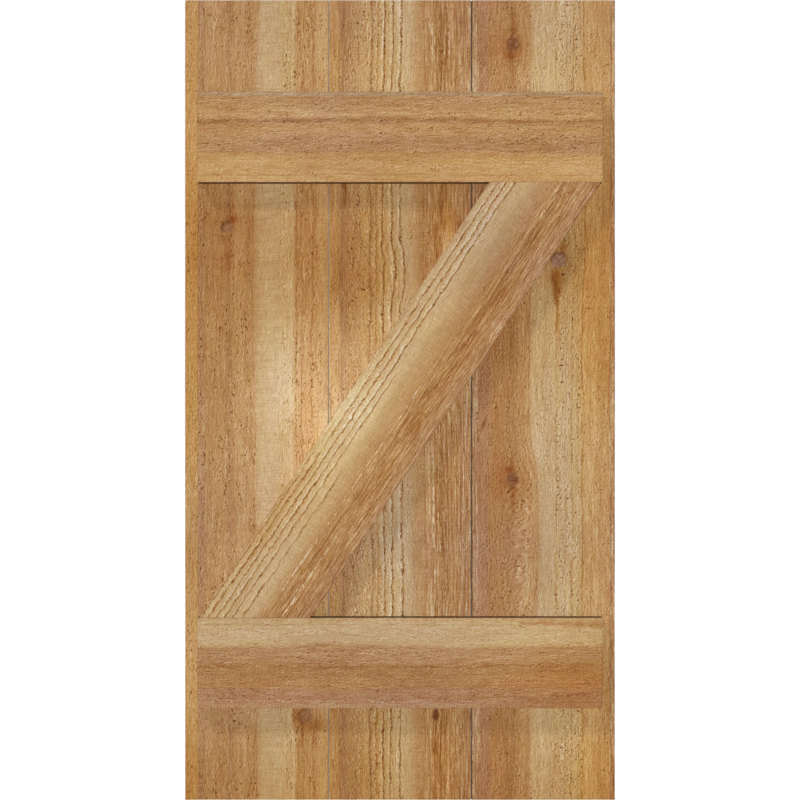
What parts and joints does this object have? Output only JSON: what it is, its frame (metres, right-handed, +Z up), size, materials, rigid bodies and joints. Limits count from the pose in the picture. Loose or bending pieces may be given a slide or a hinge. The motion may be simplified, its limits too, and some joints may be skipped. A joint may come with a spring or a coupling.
{
  "type": "board and batten window shutter with a diagonal brace",
  "caption": "Upright rough-sawn timber boards edge to edge, held by cross battens and a diagonal brace on the face, screwed from behind: a flat exterior window shutter for a wall.",
  "frame": {"origin": "centre of the flat back, which lies against the wall", "axes": "+X to the right of someone facing the shutter, +Y into the wall, +Z up along the boards"},
  "size_m": [0.4096, 0.035, 0.762],
  "materials": {
    "boards": "rough-sawn, unfinished",
    "battens": "rough-sawn, unfinished",
    "brace": "rough-sawn, unfinished",
    "screws": "zinc plated"
  },
  "bodies": {
    "root": {"left_board": "boards", "middle_board": "boards", "right_board": "boards", "top_batten": "battens", "bottom_batten": "battens", "diagonal_brace": "brace", "top_batten_screw_1": "screws", "top_batten_screw_2": "screws", "top_batten_screw_3": "screws", "top_batten_screw_4": "screws", "top_batten_screw_5": "screws", "top_batten_screw_6": "screws", "bottom_batten_screw_1": "screws", "bottom_batten_screw_2": "screws", "bottom_batten_screw_3": "screws", "bottom_batten_screw_4": "screws", "bottom_batten_screw_5": "screws", "bottom_batten_screw_6": "screws", "brace_screw_1": "screws", "brace_screw_2": "screws", "brace_screw_3": "screws", "brace_screw_4": "screws", "brace_screw_5": "screws", "brace_screw_6": "screws"}
  },
  "joints": []
}
